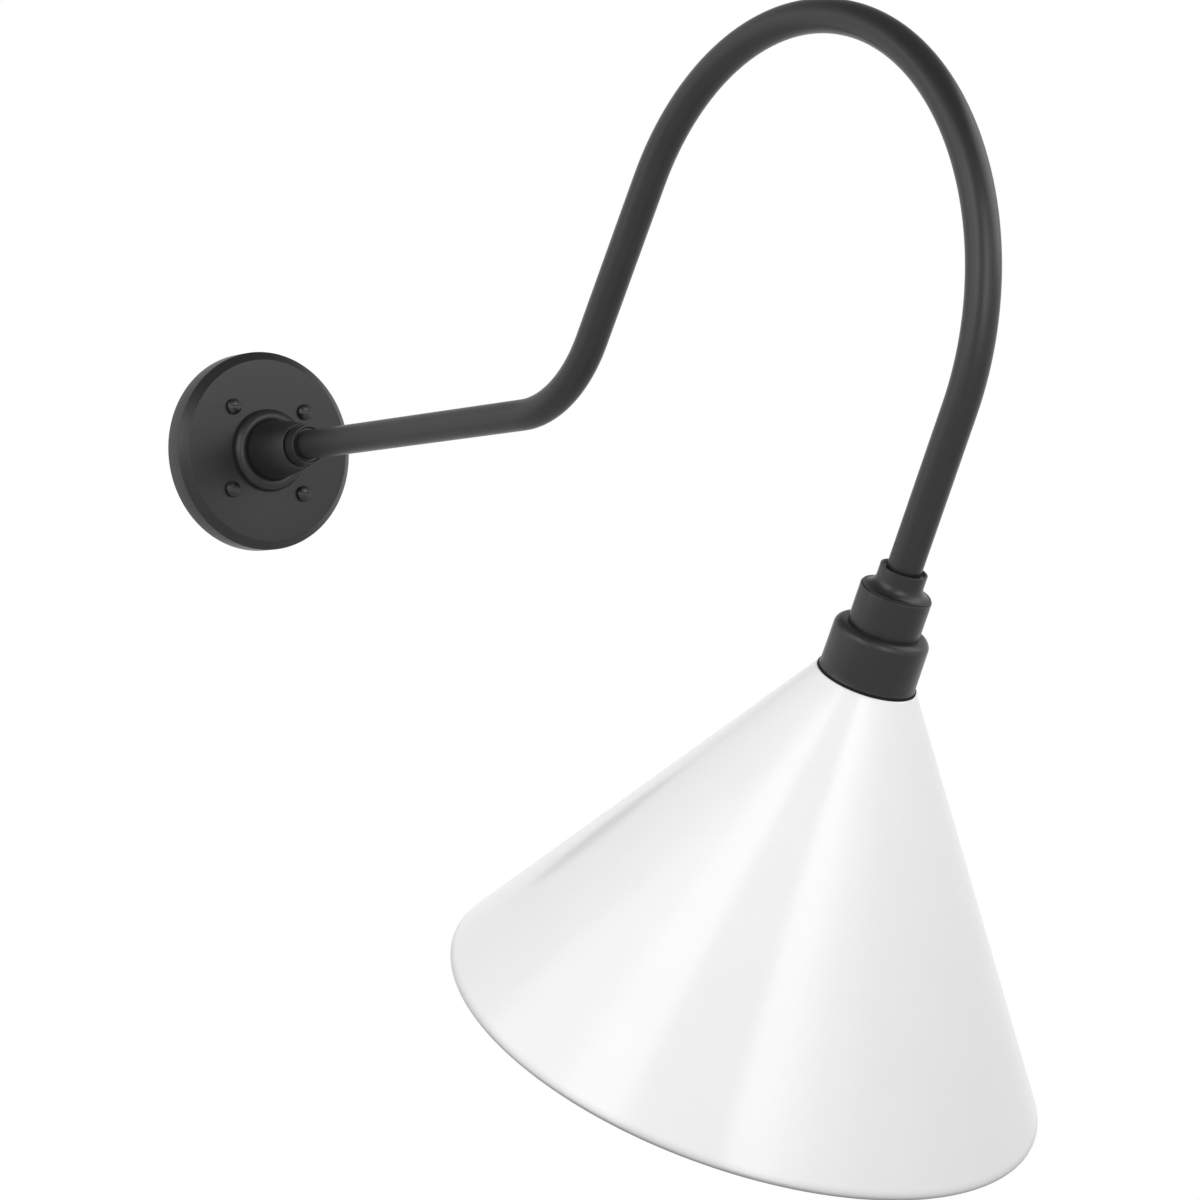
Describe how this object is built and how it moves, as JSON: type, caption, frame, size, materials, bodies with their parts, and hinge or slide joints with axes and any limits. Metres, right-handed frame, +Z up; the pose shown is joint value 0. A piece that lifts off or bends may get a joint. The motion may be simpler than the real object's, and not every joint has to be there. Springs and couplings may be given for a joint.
{
  "type": "barn light",
  "caption": "Wall light with a round screwed wall plate, a gooseneck pipe arm, a stepped socket housing and a wide cone shade over a screw lamp.",
  "frame": {"origin": "centre of the wall screws' circle, on the plane of the wall", "axes": "+Y points into the wall, +Z is up, and the light reaches out along -Y. The arm lies in the plane X = 0."},
  "size_m": [0.38, 0.8485, 0.7253],
  "materials": {
    "black_coat": "satin",
    "black_screw": "satin",
    "white_enamel": "gloss",
    "soft_black": "matte",
    "zinc": "satin",
    "porcelain": "gloss",
    "brass": "satin",
    "lead_black": "satin",
    "lead_white": "satin",
    "lead_green": "satin",
    "ground_green": "satin",
    "copper": "satin",
    "lamp_white": "satin",
    "lamp_metal": "satin",
    "lamp_black": "gloss",
    "solder": "satin"
  },
  "bodies": {
    "fixture": {"wall_gasket": "soft_black", "wall_plate": "black_coat", "plate_screws": "black_screw", "arm_hub": "black_coat", "hub_locknut": "zinc", "hub_set_screw": "black_screw", "arm_collar": "black_coat", "arm_tube": "black_coat", "arm_neck": "black_coat", "neck_set_screw": "black_screw", "socket_housing": "black_coat", "housing_set_screw": "black_screw", "shade_cup": "black_coat", "shade_gasket": "soft_black", "shade": "white_enamel", "shade_ring": "zinc", "lampholder": "porcelain", "screw_shell": "brass", "centre_contact": "brass", "holder_screws": "zinc", "live_lead": "lead_black", "neutral_lead": "lead_white", "ground_lead": "lead_green", "ground_terminal": "brass", "ground_screw": "ground_green", "lead_ends": "copper"},
    "lamp": {"lamp_glass": "lamp_white", "lamp_cap": "lamp_metal", "lamp_insulator": "lamp_black", "lamp_contact": "solder"}
  },
  "joints": [
    {"name": "lamp_unscrew", "type": "slide", "parent": "fixture", "child": "lamp", "axis": [0, 0.4695, -0.8829], "range_m": [0, 0.027]}
  ]
}
